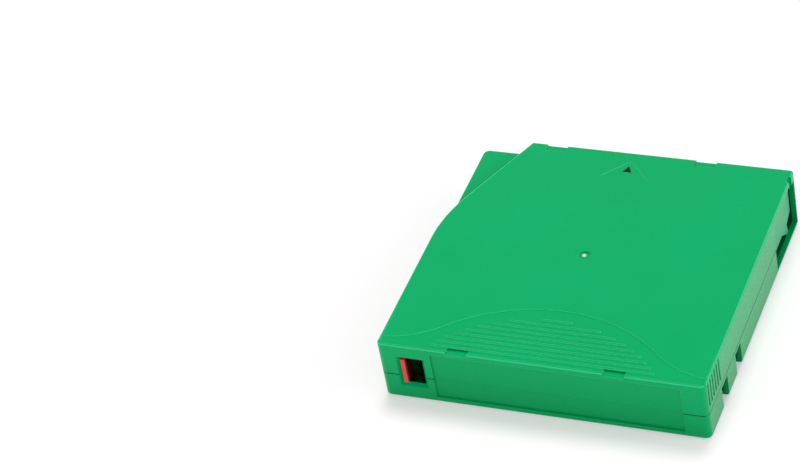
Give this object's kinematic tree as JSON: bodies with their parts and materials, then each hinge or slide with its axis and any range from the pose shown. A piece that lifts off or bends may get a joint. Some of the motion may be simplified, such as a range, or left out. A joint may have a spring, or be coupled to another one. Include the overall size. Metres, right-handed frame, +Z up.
{
  "type": "data tape cartridge",
  "caption": "Green half-inch data tape cartridge with a single reel, sliding door, leader pin, reel brake and write-protect tab",
  "frame": {"origin": "centre of the footprint, on the surface that the cartridge lies on", "axes": "+X across the cartridge towards the door's side, +Y towards the end that enters the drive, +Z up"},
  "size_m": [0.1054, 0.102, 0.0215],
  "materials": {
    "shell_plastic": "fine-textured moulded green",
    "door_plastic": "moulded green, slightly paler",
    "tab_plastic": "smooth red",
    "hub_plastic": "moulded off-white",
    "flange_plastic": "smooth off-white",
    "brake_plastic": "moulded black",
    "plate_steel": "turned and plated",
    "pin_steel": "ground bright",
    "spring_steel": "drawn wire and strip",
    "screw_steel": "zinc plated",
    "tape_film": "dark brown coated film",
    "board_laminate": "lacquered laminate"
  },
  "bodies": {
    "case": {"upper_shell": "shell_plastic", "lower_shell": "shell_plastic", "leader_pin": "pin_steel", "leader_clip": "hub_plastic", "leader_pin_spring": "spring_steel", "tape_leader": "tape_film", "memory_board": "board_laminate", "case_screw_rear_left": "screw_steel", "case_screw_rear_right": "screw_steel", "case_screw_front_left": "screw_steel", "case_screw_front_right": "screw_steel", "door_spring": "spring_steel", "brake_spring": "spring_steel"},
    "door": {"sliding_door": "door_plastic"},
    "tab": {"write_protect_tab": "tab_plastic"},
    "reel": {"reel_hub": "hub_plastic", "reel_upper_flange": "flange_plastic", "reel_drive_plate": "plate_steel", "tape_pack": "tape_film"},
    "release": {"clutch_release": "brake_plastic"},
    "brake": {"brake_disc": "brake_plastic"}
  },
  "joints": [
    {"name": "door_slide", "type": "slide", "parent": "case", "child": "door", "axis": [0, -1, 0], "range_m": [0, 0.0219], "stiffness_N_per_m": 25, "springref_m": -0.01, "deforming": ["door_spring"]},
    {"name": "tab_slide", "type": "slide", "parent": "case", "child": "tab", "axis": [1, 0, 0], "range_m": [0, 0.0054]},
    {"name": "reel_turn", "type": "hinge", "parent": "case", "child": "reel", "pos_m": [-0.0012, 0, 0.01], "axis": [0, 0, 1], "continuous": true},
    {"name": "release_lift", "type": "slide", "parent": "reel", "child": "release", "axis": [0, 0, 1], "range_m": [0, 0.0016]},
    {"name": "brake_lift", "type": "slide", "parent": "case", "child": "brake", "axis": [0, 0, 1], "range_m": [0, 0.0016], "stiffness_N_per_m": 400, "springref_m": -0.004, "deforming": ["brake_spring"]}
  ],
  "couplings": [
    {"joint": "release_lift", "follows": "brake_lift", "ratio": 1}
  ]
}
